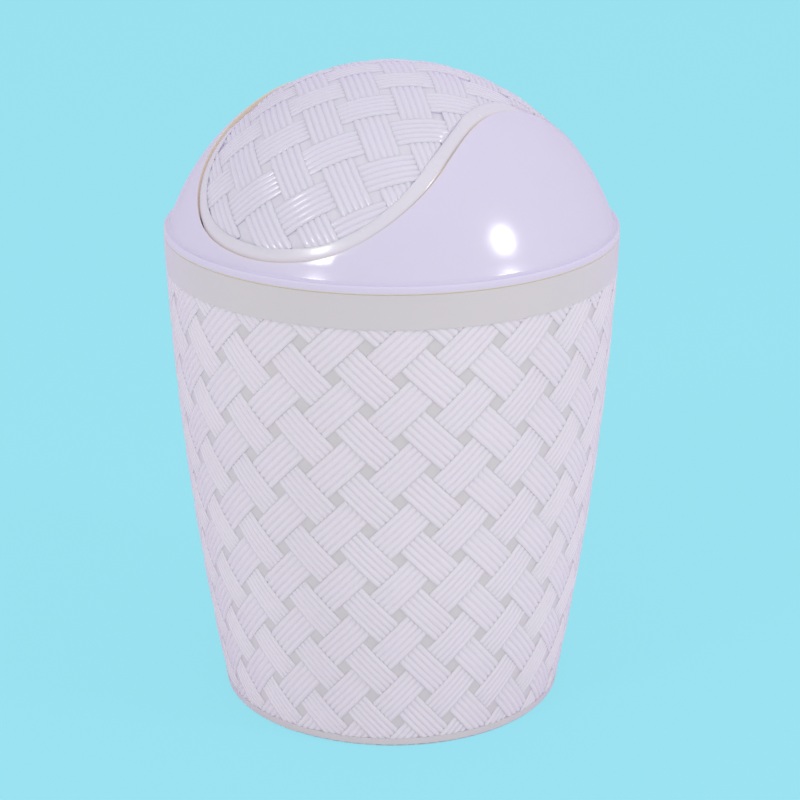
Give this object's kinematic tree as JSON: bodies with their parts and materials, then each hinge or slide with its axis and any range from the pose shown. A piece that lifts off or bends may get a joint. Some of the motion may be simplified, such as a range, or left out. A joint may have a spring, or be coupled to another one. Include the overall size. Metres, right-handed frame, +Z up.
{
  "type": "swing-lid bin",
  "caption": "Small round kitchen bin: tapered bucket with a basket-weave wall, domed plug-in lid and a lobed flap that swings both ways on its own pins.",
  "frame": {"origin": "middle of the foot ring, on the floor", "axes": "+Z up; the flap's long way is Y and its pivot axis is parallel to X"},
  "size_m": [0.1948, 0.1948, 0.281],
  "materials": {
    "bucket_plastic": "pearly gloss",
    "lid_plastic": "pearly gloss",
    "flap_plastic": "pearly gloss"
  },
  "bodies": {
    "bin": {"bin_body": "bucket_plastic"},
    "lid": {"lid_dome": "lid_plastic"},
    "flap": {"swing_flap": "flap_plastic"}
  },
  "joints": [
    {"name": "lid_lift", "type": "slide", "parent": "bin", "child": "lid", "axis": [0, 0, 1], "range_m": [0, 0.08]},
    {"name": "flap_swing", "type": "hinge", "parent": "lid", "child": "flap", "pos_m": [0, 0, 0.2605], "axis": [1, 0, 0], "continuous": true}
  ]
}
